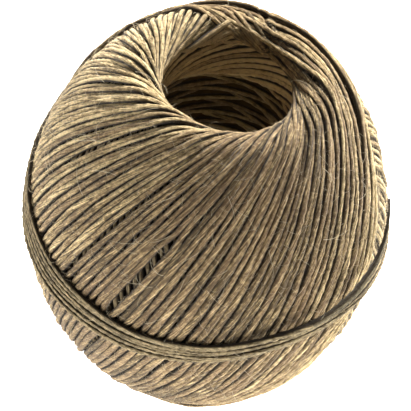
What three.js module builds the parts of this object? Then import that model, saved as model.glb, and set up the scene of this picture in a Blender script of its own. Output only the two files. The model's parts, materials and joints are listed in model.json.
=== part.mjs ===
import * as THREE from "three";
import { mergeVertices } from "three/addons/utils/BufferGeometryUtils.js";

// A ball of plant fibre twine, wound on a spindle so that a round hole runs through it.
// Millimetres, +Z up: the hole's axis is Z and the ball stands on its lower end.
// The origin is the middle of that end.

// Driving sizes of the wound body
const BALL_RADIUS = 45;
const POLE_REACH = 55.8;
const BORE_RADIUS = 15.8;
const LIP_RADIUS = 5.4;
const FLAT_DEPTH = 0.6;

// The main twists: bundles of turns that swirl around the hole from rim to rim
const BUNDLE_COUNT = 18;
const BUNDLE_RELIEF = 1.2;
const LAST_TURN_AZIMUTH = 160;
const LAST_TURN_RELIEF = 0.7;
const FRESH_TURNS_SPREAD = 50;

// The wraps around the waist, which hold the turns together
const WRAP_WIDTH = 8;
const WRAP_RELIEF = 1.4;
const WRAP_SHOULDER = 4;
const WRAP_TILT = 14;
const WRAP_RISE = 13.5;

// The twine's loose end
const TWINE_DIAMETER = 2;
const END_SIDES = 8;
const END_STEPS = 14;

// Facets
const SECTORS = 90;
const SIDE_ROWS = 26;
const LIP_ROWS = 5;
const BORE_ROWS = 4;
const WELD = 0.001;
const HALVINGS = 50;

const twineColour = new THREE.Color(0.52, 0.43, 0.29);
const wound = new THREE.MeshStandardMaterial({ color: twineColour, roughness: 0.92, metalness: 0 });
const loose = new THREE.MeshStandardMaterial({ color: twineColour, roughness: 0.92, metalness: 0 });
wound.name = "twine";
loose.name = "twine_end";

const radians = THREE.MathUtils.degToRad;
const smooth = (x) => THREE.MathUtils.smoothstep(x, 0, 1);

// Where the side's ellipse meets the lip's arc: the ellipse's angle there, the slope of its
// normal and the height of the arc's middle above the middle of the ball
function lipJoint() {
  const offsetRadius = (t) => {
    const nr = Math.cos(t) / BALL_RADIUS;
    const nz = Math.sin(t) / POLE_REACH;
    return BALL_RADIUS * Math.cos(t) - (LIP_RADIUS * nr) / Math.hypot(nr, nz);
  };
  let low = 0;
  let high = Math.PI / 2;
  for (let i = 0; i < HALVINGS; i += 1) {
    const middle = (low + high) / 2;
    if (offsetRadius(middle) > BORE_RADIUS + LIP_RADIUS) low = middle;
    else high = middle;
  }
  const nr = Math.cos(low) / BALL_RADIUS;
  const nz = Math.sin(low) / POLE_REACH;
  const slope = Math.atan2(nz, nr);
  const z = POLE_REACH * Math.sin(low) - LIP_RADIUS * Math.sin(slope);
  return { angle: low, slope, z };
}

const lip = lipJoint();
const rimHeight = lip.z + LIP_RADIUS;
const centreHeight = rimHeight - FLAT_DEPTH;

// The closed outline from the lower lip up the side, over the upper lip and down the bore.
// Heights are measured from the ball's middle.
function outline() {
  const side = [];
  for (let i = -SIDE_ROWS; i <= SIDE_ROWS; i += 2) {
    const t = (lip.angle * i) / SIDE_ROWS;
    side.push(new THREE.Vector2(BALL_RADIUS * Math.cos(t), POLE_REACH * Math.sin(t)));
  }
  const arc = [];
  for (let i = 1; i <= LIP_ROWS; i += 1) {
    const a = lip.slope + ((Math.PI - lip.slope) * i) / LIP_ROWS;
    const r = BORE_RADIUS + LIP_RADIUS + LIP_RADIUS * Math.cos(a);
    arc.push(new THREE.Vector2(r, lip.z + LIP_RADIUS * Math.sin(a)));
  }
  const bore = [];
  for (let i = 1; i < BORE_ROWS; i += 1) {
    bore.push(new THREE.Vector2(BORE_RADIUS, lip.z - (2 * lip.z * i) / BORE_ROWS));
  }
  const lowerArc = arc.map((p) => new THREE.Vector2(p.x, -p.y)).reverse();
  return [...side, ...arc, ...bore, ...lowerArc, side[0].clone()];
}

// How far round the axis a turn has run on its way down from the upper rim, in radians
function turnSweep(radius, height) {
  const steepness = height / POLE_REACH / (radius / BALL_RADIUS);
  const limit = Math.tan(lip.angle);
  return Math.PI / 2 - Math.asin(THREE.MathUtils.clamp(steepness / limit, -1, 1));
}

// Relief of the bundles at a point. Two turns cross there, one running down from the upper rim
// and one running up to it, and the one wound later lies on top. The last ones stand proud.
function bundleRelief(azimuth, radius, height) {
  const sweep = turnSweep(radius, height);
  const fullTurn = 2 * Math.PI;
  const last = radians(LAST_TURN_AZIMUTH);
  const behind = (angle) => (((last - angle) % fullTurn) + fullTurn) % fullTurn;
  const falling = behind(azimuth + sweep);
  const rising = behind(azimuth - sweep);
  const turn = Math.min(falling, rising);
  const crown = 0.5 + 0.5 * Math.cos(BUNDLE_COUNT * turn);
  const fresh = LAST_TURN_RELIEF * smooth(1 - turn / radians(FRESH_TURNS_SPREAD));
  return BUNDLE_RELIEF * (crown - 1) + fresh;
}

// Relief of the wraps, by the distance from the tilted plane in which they lie
function wrapRelief(point) {
  const tilt = radians(WRAP_TILT);
  const away = Math.cos(tilt) * (point.z - WRAP_RISE) - Math.sin(tilt) * point.y;
  const edge = Math.abs(away) - WRAP_WIDTH / 2;
  return WRAP_RELIEF * smooth(0.75 - edge / WRAP_SHOULDER);
}

// The outward direction of the plain outline at a point of it
function outwards(point, radius) {
  const beside = new THREE.Vector2(point.x, point.y).normalize();
  const onLip = Math.abs(point.z) > lip.z;
  const nr = onLip ? radius - BORE_RADIUS - LIP_RADIUS : radius / BALL_RADIUS ** 2;
  const nz = onLip ? point.z - Math.sign(point.z) * lip.z : point.z / POLE_REACH ** 2;
  return new THREE.Vector3(beside.x * nr, beside.y * nr, nz).normalize();
}

// The plain outline turned about the axis, then raised and sunk by the relief. What lies under
// the flat spot is brought up to it.
function woundBody() {
  const geometry = new THREE.LatheGeometry(outline(), SECTORS);
  geometry.rotateX(Math.PI / 2);
  geometry.deleteAttribute("normal");
  geometry.deleteAttribute("uv");
  const body = mergeVertices(geometry, WELD);
  const places = body.attributes.position;
  const point = new THREE.Vector3();
  for (let i = 0; i < places.count; i += 1) {
    point.fromBufferAttribute(places, i);
    const radius = Math.hypot(point.x, point.y);
    const azimuth = Math.atan2(point.x, -point.y);
    const outside = smooth((radius - BORE_RADIUS) / LIP_RADIUS);
    const relief = bundleRelief(azimuth, radius, point.z) + wrapRelief(point);
    const standsOn = point.z < FLAT_DEPTH - rimHeight;
    point.addScaledVector(outwards(point, radius), outside * relief);
    point.z = standsOn ? -centreHeight : Math.max(point.z, -centreHeight);
    places.setXYZ(i, point.x, point.y, point.z);
  }
  body.computeVertexNormals();
  return body;
}

// The loose end lies on the wraps, then stands off the side. Points of its middle line, from
// where it leaves the wraps to its tip.
const endRoute = [
  [28.8, -36.9, 56.4],
  [30.8, -35.4, 56.9],
  [32.6, -33.8, 57.5],
  [34.3, -32.0, 58.1],
  [35.9, -30.1, 58.8],
  [37.5, -28.2, 59.7],
  [38.8, -26.2, 60.8],
  [40.0, -24.1, 62.1],
  [41.1, -21.8, 63.6],
  [41.8, -19.8, 65.2],
  [42.3, -17.7, 66.9],
  [42.6, -15.7, 68.7],
  [42.6, -13.7, 70.6],
  [42.3, -11.8, 72.5],
  [41.8, -10.1, 74.4],
].map(([x, y, z]) => new THREE.Vector3(x, y, z));

// The loose end as a plain round tube
function looseEnd() {
  const corners = [];
  for (let i = 0; i < END_SIDES; i += 1) {
    const a = (2 * Math.PI * i) / END_SIDES;
    corners.push(new THREE.Vector2(Math.cos(a), Math.sin(a)).multiplyScalar(TWINE_DIAMETER / 2));
  }
  return new THREE.ExtrudeGeometry(new THREE.Shape(corners), {
    steps: END_STEPS,
    extrudePath: new THREE.CatmullRomCurve3(endRoute),
    bevelEnabled: false,
  });
}

const ball = new THREE.Mesh(woundBody(), wound);
ball.name = "twine_ball";
ball.position.z = centreHeight;

const end = new THREE.Mesh(looseEnd(), loose);
end.name = "loose_end";

const ballOfTwine = new THREE.Group();
ballOfTwine.add(ball, end);

export default ballOfTwine;
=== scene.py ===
"""A ball of plant fibre twine, wound around a spindle hole and tied around its waist.

The wound ball is built turn by turn: each turn is a route over the ball from rim to rim, and one
Geometry Nodes tree sweeps every route into two-ply twine. Metres throughout, +Z up. An azimuth is
an angle about the ball's axis, from -Y towards +X.
"""
import json
import logging
import math
from dataclasses import dataclass, field
from enum import Enum
from typing import ClassVar

import bpy
import numpy as np
from mathutils import Matrix, Vector

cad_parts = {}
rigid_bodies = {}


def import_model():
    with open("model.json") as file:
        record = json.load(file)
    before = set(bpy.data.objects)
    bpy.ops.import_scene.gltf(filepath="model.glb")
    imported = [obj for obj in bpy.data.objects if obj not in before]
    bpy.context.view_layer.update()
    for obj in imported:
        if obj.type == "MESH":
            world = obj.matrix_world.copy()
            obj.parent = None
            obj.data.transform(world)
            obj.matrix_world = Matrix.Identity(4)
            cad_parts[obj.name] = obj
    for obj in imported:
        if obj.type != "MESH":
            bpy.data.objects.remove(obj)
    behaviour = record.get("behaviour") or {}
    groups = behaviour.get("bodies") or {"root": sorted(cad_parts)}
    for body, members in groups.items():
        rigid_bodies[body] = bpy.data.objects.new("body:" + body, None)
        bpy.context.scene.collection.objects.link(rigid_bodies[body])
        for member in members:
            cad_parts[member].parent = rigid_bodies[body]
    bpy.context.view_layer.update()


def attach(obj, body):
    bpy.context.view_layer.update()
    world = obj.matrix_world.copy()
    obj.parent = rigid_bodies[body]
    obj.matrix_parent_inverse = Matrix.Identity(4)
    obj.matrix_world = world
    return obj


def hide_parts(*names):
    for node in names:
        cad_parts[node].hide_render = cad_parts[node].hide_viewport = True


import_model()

log = logging.getLogger("ball_of_twine")

MM = 0.001
FULL_TURN = 2.0 * math.pi
GOLDEN_ANGLE = 137.508
GOLDEN_SHARE = 0.618034
BODY = "root"
BALL_NODE = "twine_ball"
END_NODE = "loose_end"
SEED = 7

TWINE_RADIUS = 0.87 * MM
END_RADIUS = 0.85 * MM
# How far twine keeps off the floor, as a share of its radius
FLOOR_SHARE = 1.05

# The loose end's middle line, from where it leaves the wraps to its tip
END_ROUTE_MM = (
    (28.8, -36.9, 56.4),
    (30.8, -35.4, 56.9),
    (32.6, -33.8, 57.5),
    (34.3, -32.0, 58.1),
    (35.9, -30.1, 58.8),
    (37.5, -28.2, 59.7),
    (38.8, -26.2, 60.8),
    (40.0, -24.1, 62.1),
    (41.1, -21.8, 63.6),
    (41.8, -19.8, 65.2),
    (42.3, -17.7, 66.9),
    (42.6, -15.7, 68.7),
    (42.6, -13.7, 70.6),
    (42.3, -11.8, 72.5),
    (41.8, -10.1, 74.4),
)

Colour = tuple[float, float, float]
Span = tuple[float, float]
Settings = dict[str, object]
Inputs = dict[int | str, object]


class Side(Enum):
    """Which half of a turn a route follows: down from the upper rim, or back up to it."""

    FALLING = -1.0
    RISING = 1.0


def smooth(x: np.ndarray | float) -> np.ndarray | float:
    """Ease from 0 to 1 as x goes from 0 to 1."""
    t = np.clip(x, 0.0, 1.0)
    return t * t * (3.0 - 2.0 * t)


def since(value: np.ndarray | float, span: Span) -> np.ndarray | float:
    """Ease from 0 to 1 over a span, given as where it starts and how wide it is."""
    return smooth((value - span[0]) / span[1])


def until(value: np.ndarray | float, span: Span) -> np.ndarray | float:
    """Ease from 1 to 0 over a span, given as where it ends and how wide it is."""
    return smooth((span[0] - value) / span[1])


def around_axis(radius: np.ndarray, azimuth: np.ndarray, height: np.ndarray) -> np.ndarray:
    """Points about the ball's axis.

    Args:
        radius: distances from the axis.
        azimuth: azimuths in radians.
        height: distances along the axis.

    Returns:
        The points, with x, y and z last.
    """
    rows = np.broadcast_arrays(radius * np.sin(azimuth), -radius * np.cos(azimuth), height)
    return np.stack(rows, -1)


def added(name: str, data: bpy.types.ID) -> bpy.types.Object:
    """Add an object to the scene, at the origin.

    Args:
        name: its name.
        data: its mesh, camera or light.

    Returns:
        The object.
    """
    item = bpy.data.objects.new(name, data)
    bpy.context.scene.collection.objects.link(item)
    return item


def ringed(name: str, points: np.ndarray, closed: bool) -> bpy.types.Mesh:
    """Join profiles that stand round the axis into one mesh.

    Args:
        name: the mesh's name.
        points: the profiles' points, one profile for each azimuth.
        closed: whether each profile is a closed line.

    Returns:
        The mesh, with its faces outwards.
    """
    profiles, count = points.shape[:2]
    grid = np.arange(profiles * count).reshape(profiles, count)
    beside = np.roll(grid, -1, 0)
    if closed:
        corners = [grid, beside, np.roll(beside, -1, 1), np.roll(grid, -1, 1)]
    else:
        corners = [grid[:, :-1], beside[:, :-1], beside[:, 1:], grid[:, 1:]]
    faces = np.stack(corners, -1).reshape(-1, 4)
    mesh = bpy.data.meshes.new(name)
    mesh.from_pydata(points.reshape(-1, 3).tolist(), [], faces.tolist())
    return mesh


def finished(piece: bpy.types.Object, node: str) -> bpy.types.Object:
    """Declare a piece: its body and the node that it stands for.

    Args:
        piece: the piece.
        node: the CAD node that it replaces.

    Returns:
        The same piece.
    """
    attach(piece, BODY)
    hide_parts(node)
    triangles = sum(len(p.vertices) - 2 for p in piece.data.polygons)
    log.info("%s: %d triangles", piece.name, triangles)
    return piece


class Term:
    """A node socket that Python operators combine through Math nodes."""

    def __init__(self, maker: "NodeMaker", socket: bpy.types.NodeSocket | None) -> None:
        """Wrap a socket.

        Args:
            maker: the maker of the tree that the socket is in.
            socket: an output socket, or None for a node that has none.
        """
        self.maker = maker
        self.socket = socket

    def _with(self, operation: str, *values: "Term | float") -> "Term":
        """Add one Math node on these values and return its result."""
        inputs = dict(enumerate(values))
        return self.maker.add("ShaderNodeMath", {"operation": operation}, inputs)

    def __add__(self, other: "Term | float") -> "Term":
        """Sum."""
        return self._with("ADD", self, other)

    __radd__ = __add__

    def __sub__(self, other: "Term | float") -> "Term":
        """Difference."""
        return self._with("SUBTRACT", self, other)

    def __rsub__(self, other: float) -> "Term":
        """Difference from a number."""
        return self._with("SUBTRACT", other, self)

    def __mul__(self, other: "Term | float") -> "Term":
        """Product."""
        return self._with("MULTIPLY", self, other)

    __rmul__ = __mul__

    def __truediv__(self, other: "Term | float") -> "Term":
        """Quotient."""
        return self._with("DIVIDE", self, other)

    def cos(self) -> "Term":
        """Cosine of an angle in radians."""
        return self._with("COSINE", self)

    def sin(self) -> "Term":
        """Sine of an angle in radians."""
        return self._with("SINE", self)

    def ranged(self, low: float, high: float, to_low: float = 0.0, to_high: float = 1.0) -> "Term":
        """Map a range smoothly onto another.

        Args:
            low: the value that becomes to_low.
            high: the value that becomes to_high.
            to_low: the lower result.
            to_high: the upper result.

        Returns:
            The mapped and clamped value.
        """
        settings = {"interpolation_type": "SMOOTHSTEP"}
        inputs = {0: self, 1: low, 2: high, 3: to_low, 4: to_high}
        return self.maker.add("ShaderNodeMapRange", settings, inputs)


class NodeMaker:
    """Adds nodes to one tree."""

    def __init__(self, tree: bpy.types.NodeTree) -> None:
        """Start on a tree."""
        self.tree = tree

    def add(
        self,
        kind: str,
        settings: Settings | None = None,
        inputs: Inputs | None = None,
        out: int | str = 0,
    ) -> Term:
        """Add a node.

        Args:
            kind: the node's type.
            settings: the node's own properties, which are set first.
            inputs: values or links by socket name or number.
            out: the output socket to return.

        Returns:
            The chosen output.
        """
        node = self.tree.nodes.new(kind)
        for name, value in (settings or {}).items():
            setattr(node, name, value)
        for name, value in (inputs or {}).items():
            socket = node.inputs[name]
            if isinstance(value, Term):
                self.tree.links.new(value.socket, socket)
            else:
                socket.default_value = value
        return Term(self, node.outputs[out] if len(node.outputs) else None)

    def beside(self, term: Term, name: str) -> Term:
        """Another output of the node that this one comes from."""
        return Term(self, term.socket.node.outputs[name])

    def given(self) -> dict[str, Term]:
        """The tree's own inputs, by name."""
        node = self.add("NodeGroupInput").socket.node
        return {socket.name: Term(self, socket) for socket in node.outputs if socket.name}

    def mixed(self, share: Term, first: Term | Colour, second: Term | Colour) -> Term:
        """Mix two colours.

        Args:
            share: how much of the second one, 0 to 1.
            first: one colour.
            second: the other colour.

        Returns:
            The mixed colour.
        """
        pair = [colour if isinstance(colour, Term) else (*colour, 1.0) for colour in (first, second)]
        return self.add("ShaderNodeMix", {"data_type": "RGBA"}, {0: share, 6: pair[0], 7: pair[1]}, 2)


@dataclass
class WoundForm:
    """The outer form of the ball: an ellipse turned about Z, rounded over into the hole."""

    ball_radius: float = 45.0 * MM
    pole_reach: float = 55.8 * MM
    bore_radius: float = 15.8 * MM
    lip_radius: float = 5.4 * MM
    flat_depth: float = 0.6 * MM
    side_samples: int = 20001
    lip_samples: int = 400
    bore_samples: int = 60

    def __post_init__(self) -> None:
        """Work out the outline as tables by the distance from the waist along it."""
        angle = np.linspace(0.0, math.pi / 2, self.side_samples)
        radius = self.ball_radius * np.cos(angle)
        height = self.pole_reach * np.sin(angle)
        slope = np.arctan2(np.sin(angle) / self.pole_reach, np.cos(angle) / self.ball_radius)
        inner = radius - self.lip_radius * np.cos(slope)
        lip_middle = self.bore_radius + self.lip_radius
        joint = int(np.argmax(inner <= lip_middle))
        turn = np.linspace(slope[joint], math.pi, self.lip_samples)[1:]
        self.lip_height = height[joint] - self.lip_radius * math.sin(slope[joint])
        arc_radius = lip_middle + self.lip_radius * np.cos(turn)
        arc_height = self.lip_height + self.lip_radius * np.sin(turn)
        drop = np.linspace(0.0, self.lip_height, self.bore_samples)[1:]
        self.radius = np.concatenate([radius[: joint + 1], arc_radius, np.full(len(drop), self.bore_radius)])
        self.height = np.concatenate([height[: joint + 1], arc_height, self.lip_height - drop])
        self.slope = np.concatenate([slope[: joint + 1], turn, np.full(len(drop), math.pi)])
        steps = np.hypot(np.diff(self.radius), np.diff(self.height))
        self.along = np.concatenate([[0.0], np.cumsum(steps)])
        self.middle = self.lip_height + self.lip_radius - self.flat_depth

    def at(self, along: np.ndarray) -> tuple[np.ndarray, np.ndarray, np.ndarray]:
        """Look the outline up.

        Args:
            along: distances from the waist along the outline, negative below it.

        Returns:
            The radius, the height above the ball's middle and the slope of the outward normal.
        """
        far = np.abs(along)
        sign = np.where(along < 0.0, -1.0, 1.0)
        radius = np.interp(far, self.along, self.radius)
        height = sign * np.interp(far, self.along, self.height)
        slope = sign * np.interp(far, self.along, self.slope)
        return radius, height, slope

    def along_at_radius(self, radius: float) -> float:
        """The distance along the outline to the place on the lip with this radius."""
        return float(self.along[int(np.argmax(self.radius <= radius))])

    def along_at_height(self, height: np.ndarray) -> np.ndarray:
        """The distance along the side to these heights above the ball's middle."""
        top = int(np.argmax(self.height))
        return np.sign(height) * np.interp(np.abs(height), self.height[:top], self.along[:top])

    def place(
        self,
        along: np.ndarray,
        azimuth: np.ndarray,
        lift: np.ndarray,
    ) -> tuple[np.ndarray, np.ndarray]:
        """Points over the form.

        Args:
            along: distances from the waist along the outline.
            azimuth: azimuths in radians.
            lift: distances outwards from the form.

        Returns:
            The points and their outward directions, as rows.
        """
        radius, height, slope = self.at(along)
        normal = around_axis(np.cos(slope), azimuth, np.sin(slope))
        base = around_axis(radius, azimuth, height + self.middle)
        return base + normal * np.asarray(lift)[..., None], normal


def respaced(points: np.ndarray, spacing: np.ndarray) -> np.ndarray:
    """Where to keep points of a finely sampled line.

    Args:
        points: the line's points.
        spacing: the wanted distance between kept points, at each point.

    Returns:
        Fractional indices into the line.
    """
    step = np.linalg.norm(np.diff(points, axis=0), axis=1)
    cost = np.concatenate([[0.0], np.cumsum(step * 2.0 / (spacing[1:] + spacing[:-1]))])
    count = max(4, int(round(cost[-1])) + 1)
    return np.interp(np.linspace(0.0, cost[-1], count), cost, np.arange(len(points)))


def picked(values: np.ndarray, index: np.ndarray) -> np.ndarray:
    """Values at fractional indices.

    Args:
        values: a column of numbers, or rows of them.
        index: the fractional indices.

    Returns:
        The column or the rows at these indices.
    """
    grid = np.arange(len(values))
    if values.ndim == 1:
        return np.interp(index, grid, values)
    return np.stack([np.interp(index, grid, column) for column in values.T], -1)


@dataclass
class Strands:
    """Routes of twine, gathered for one piece."""

    points: list[np.ndarray] = field(default_factory=list)
    outward: list[np.ndarray] = field(default_factory=list)
    radius: list[np.ndarray] = field(default_factory=list)
    tone: list[np.ndarray] = field(default_factory=list)
    depth: list[np.ndarray] = field(default_factory=list)

    def lay(
        self,
        points: np.ndarray,
        outward: np.ndarray,
        radius: np.ndarray,
        tone: float,
        depth: np.ndarray | float,
    ) -> None:
        """Add one route.

        Args:
            points: its middle line.
            outward: the direction away from the ball at each point.
            radius: the twine's radius at each point.
            tone: the shade of this length of twine, 0 dark to 1 pale.
            depth: how far it is buried under other turns, 0 to 1, or less than 0 where it is proud; the
                finish paints shade on the twine by it.
        """
        self.points.append(points)
        self.outward.append(outward)
        self.radius.append(radius)
        self.tone.append(np.full(len(points), tone))
        self.depth.append(np.broadcast_to(depth, len(points)))

    def wires(self, name: str) -> bpy.types.Object:
        """Make an object whose edges are the routes and whose attributes are their facts.

        Args:
            name: the object's name.

        Returns:
            The object.
        """
        edges = []
        first = 0
        for points in self.points:
            start = np.arange(first, first + len(points) - 1)
            edges.append(np.stack([start, start + 1], -1))
            first += len(points)
        mesh = bpy.data.meshes.new(name)
        mesh.from_pydata(np.concatenate(self.points).tolist(), np.concatenate(edges).tolist(), [])
        for key, rows in (("thick", self.radius), ("tone", self.tone), ("depth", self.depth)):
            layer = mesh.attributes.new(key, "FLOAT", "POINT")
            layer.data.foreach_set("value", np.concatenate(rows).astype(np.float32))
        layer = mesh.attributes.new("outward", "FLOAT_VECTOR", "POINT")
        layer.data.foreach_set("vector", np.concatenate(self.outward).astype(np.float32).ravel())
        return added(name, mesh)


class ShapeTree:
    """A Geometry Nodes tree that makes a piece out of a bare object."""

    name: ClassVar[str] = ""
    sockets: ClassVar[dict[str, str]] = {}

    def __init__(self) -> None:
        """Build the tree."""
        self.tree = bpy.data.node_groups.new(self.name, "GeometryNodeTree")
        self.ids: dict[str, str] = {}
        face = self.tree.interface
        face.new_socket("Geometry", in_out="OUTPUT", socket_type="NodeSocketGeometry")
        for name, kind in {"Geometry": "Geometry", **self.sockets, "Material": "Material"}.items():
            socket = face.new_socket(name, in_out="INPUT", socket_type="NodeSocket" + kind)
            self.ids[name] = socket.identifier
        self.make = NodeMaker(self.tree)
        self.given = self.make.given()
        self._end(self._shape())

    def _shape(self) -> Term:
        """Add the nodes that make the shape: each kind of tree has its own."""
        raise NotImplementedError

    def _tube(self, route: Term, ring: Term, scale: Term) -> Term:
        """Sweep a ring along curves.

        Args:
            route: the curves.
            ring: the ring, of radius 1.
            scale: the tube's radius at each point.

        Returns:
            The tubes, with closed ends.
        """
        route = self.make.add("GeometryNodeSetCurveRadius", None, {"Curve": route, "Radius": 1.0})
        inputs = {"Curve": route, "Profile Curve": ring, "Scale": scale, "Fill Caps": True}
        return self.make.add("GeometryNodeCurveToMesh", None, inputs)

    def _ring(self, sides: Term | int) -> Term:
        """A ring of radius 1 with this many sides."""
        inputs = {"Resolution": sides, "Radius": 1.0}
        return self.make.add("GeometryNodeCurvePrimitiveCircle", {"mode": "RADIUS"}, inputs)

    def _end(self, body: Term) -> None:
        """Add the last nodes: the floor, smooth faces, one real mesh and its material.

        Args:
            body: the shape.
        """
        make = self.make
        place = make.add("GeometryNodeInputPosition")
        floor = {0: place, 1: (-1.0, -1.0, 0.0)}
        above = make.add("ShaderNodeVectorMath", {"operation": "MAXIMUM"}, floor)
        body = make.add("GeometryNodeSetPosition", None, {"Geometry": body, "Position": above})
        body = make.add("GeometryNodeSetShadeSmooth", None, {"Geometry": body})
        body = make.add("GeometryNodeRealizeInstances", None, {"Geometry": body})
        dress = {"Geometry": body, "Material": self.given["Material"]}
        body = make.add("GeometryNodeSetMaterial", None, dress)
        make.add("NodeGroupOutput", None, {"Geometry": body})

    def run(self, source: bpy.types.Object, name: str, values: dict[str, object]) -> bpy.types.Object:
        """Run the tree on an object and keep the result as a plain mesh.

        Args:
            source: the object, which is used up.
            name: the new piece's name.
            values: the tree's inputs by name.

        Returns:
            The new piece.
        """
        modifier = source.modifiers.new(self.name, "NODES")
        modifier.node_group = self.tree
        for key, value in values.items():
            modifier[self.ids[key]] = value
        bpy.context.view_layer.update()
        graph = bpy.context.evaluated_depsgraph_get()
        mesh = bpy.data.meshes.new_from_object(source.evaluated_get(graph), depsgraph=graph)
        mesh.name = name
        source.modifiers.remove(modifier)
        bpy.data.objects.remove(source)
        return added(name, mesh)


class TwineSweep(ShapeTree):
    """Turns routes into two-ply twine."""

    name: ClassVar[str] = "twine_sweep"
    sockets: ClassVar[dict[str, str]] = {
        "Sides": "Int",
        "Ply Depth": "Float",
        "Ply Pitch": "Float",
        "Roughness": "Float",
    }
    tone_shift: ClassVar[float] = 0.37
    roughness_scale: ClassVar[float] = 620.0

    def _named(self, name: str, kind: str = "FLOAT") -> Term:
        """A stored attribute."""
        return self.make.add("GeometryNodeInputNamedAttribute", {"data_type": kind}, {"Name": name})

    def _stored(self, geometry: Term, name: str, value: Term) -> Term:
        """Store a number on every point.

        Args:
            geometry: what it is stored on.
            name: the attribute's name.
            value: the number.

        Returns:
            The geometry with the attribute.
        """
        settings = {"data_type": "FLOAT", "domain": "POINT"}
        inputs = {"Geometry": geometry, "Name": name, "Value": value}
        return self.make.add("GeometryNodeStoreNamedAttribute", settings, inputs)

    def _shape(self) -> Term:
        """Add the nodes: the sweep, the facts for the finish and the relief of the plies.

        Returns:
            The twine.
        """
        make, given = self.make, self.given
        route = make.add("GeometryNodeMeshToCurve", None, {"Mesh": given["Geometry"]})
        length = make.add("GeometryNodeSplineParameter", out="Length")
        share = make.add("GeometryNodeSplineParameter", out="Factor")
        route = self._stored(route, "along", length + self._named("tone") * self.tone_shift)
        ring = self._stored(self._ring(given["Sides"]), "around", share)
        radius = self._named("thick")
        body = self._tube(route, ring, radius)
        normal = make.add("GeometryNodeInputNormal")
        twist = self._named("around") - self._named("along") / given["Ply Pitch"]
        plies = (twist * (2.0 * FULL_TURN)).cos()
        noise = {"Scale": self.roughness_scale, "Detail": 2.0, "Roughness": 0.6}
        rough = make.add("ShaderNodeTexNoise", None, noise)
        relief = (plies * given["Ply Depth"] + (rough - 0.5) * given["Roughness"]) * radius
        offset = make.add("ShaderNodeVectorMath", {"operation": "SCALE"}, {0: normal, "Scale": relief})
        # How far each face turns out from the ball; the finish paints shade on the twine's sides from it
        pair = {0: normal, 1: self._named("outward", "FLOAT_VECTOR")}
        facing = make.add("ShaderNodeVectorMath", {"operation": "DOT_PRODUCT"}, pair, "Value")
        body = self._stored(body, "facing", facing)
        return make.add("GeometryNodeSetPosition", None, {"Geometry": body, "Offset": offset})

    def sweep(
        self,
        strands: Strands,
        name: str,
        material: bpy.types.Material,
        sides: int = 10,
        ply_depth: float = 0.07,
        ply_pitch: float = 5.5 * MM,
        roughness: float = 0.5,
    ) -> bpy.types.Object:
        """Sweep routes into a plain mesh piece.

        Args:
            strands: the routes.
            name: the piece's name.
            material: its finish.
            sides: faces around the twine.
            ply_depth: relief of the two plies, as a share of the radius.
            ply_pitch: length of one turn of the plies.
            roughness: unevenness of the surface, as a share of the radius.

        Returns:
            The piece.
        """
        values = {"Sides": sides, "Ply Depth": ply_depth, "Ply Pitch": ply_pitch}
        values |= {"Material": material, "Roughness": roughness}
        return self.run(strands.wires(name + "_wires"), name, values)


class FibreScatter(ShapeTree):
    """Sets fine loose fibres on a surface."""

    name: ClassVar[str] = "fibre_scatter"
    sockets: ClassVar[dict[str, str]] = {
        "Density": "Float",
        "Length": "Float",
        "Thickness": "Float",
        "Steps": "Int",
        "Stand": "Float",
        "Seed": "Int",
    }

    def _chance(self, low: float, high: float, offset: float) -> Term:
        """A random number for each fibre, with its own offset from the seed."""
        inputs = {2: low, 3: high, "Seed": self.given["Seed"] + offset}
        return self.make.add("FunctionNodeRandomValue", {"data_type": "FLOAT"}, inputs, 1)

    def _turned(self, rotation: Term, x: Term | float, y: Term | float, z: Term | float) -> Term:
        """Turn further about the fibre's own axes.

        Args:
            rotation: the rotation so far.
            x: the angle about x.
            y: the angle about y.
            z: the angle about z.

        Returns:
            The new rotation.
        """
        angles = self.make.add("ShaderNodeCombineXYZ", None, {0: x, 1: y, 2: z})
        further = self.make.add("FunctionNodeEulerToRotation", None, {0: angles})
        settings = {"rotation_space": "LOCAL"}
        return self.make.add("FunctionNodeRotateRotation", settings, {0: rotation, 1: further})

    def _shape(self) -> Term:
        """Add the nodes: points, a curved fibre on each, and the sweep.

        Returns:
            The fibres.
        """
        make, given, chance = self.make, self.given, self._chance
        points = make.add(
            "GeometryNodeDistributePointsOnFaces",
            {"distribute_method": "RANDOM"},
            {"Mesh": given["Geometry"], "Density": given["Density"], "Seed": given["Seed"]},
        )
        fibre = make.add(
            "GeometryNodeCurvePrimitiveBezierSegment",
            {"mode": "POSITION"},
            {
                "Resolution": given["Steps"],
                "Start": (0.0, 0.0, 0.0),
                "Start Handle": (0.25, 0.0, 0.3),
                "End Handle": (0.6, 0.28, 0.36),
                "End": (0.95, 0.1, 0.12),
            },
        )
        rotation = make.beside(points, "Rotation")
        rotation = self._turned(rotation, 0.0, 0.0, chance(0.0, FULL_TURN, 1.0))
        stand = 0.0 - chance(-0.25, 1.0, 3.0) * given["Stand"]
        rotation = self._turned(rotation, chance(-0.4, 0.4, 2.0), stand, 0.0)
        size = chance(0.45, 1.0, 4.0) * given["Length"]
        sizes = {0: size, 1: size * chance(-1.3, 1.3, 5.0), 2: size * chance(0.4, 1.4, 6.0)}
        scale = make.add("ShaderNodeCombineXYZ", None, sizes)
        inputs = {"Points": points, "Instance": fibre, "Rotation": rotation, "Scale": scale}
        fibres = make.add("GeometryNodeInstanceOnPoints", None, inputs)
        fibres = make.add("GeometryNodeRealizeInstances", None, {"Geometry": fibres})
        share = make.add("GeometryNodeSplineParameter", out="Factor")
        return self._tube(fibres, self._ring(3), (1.0 - share * 0.7) * given["Thickness"])


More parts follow.
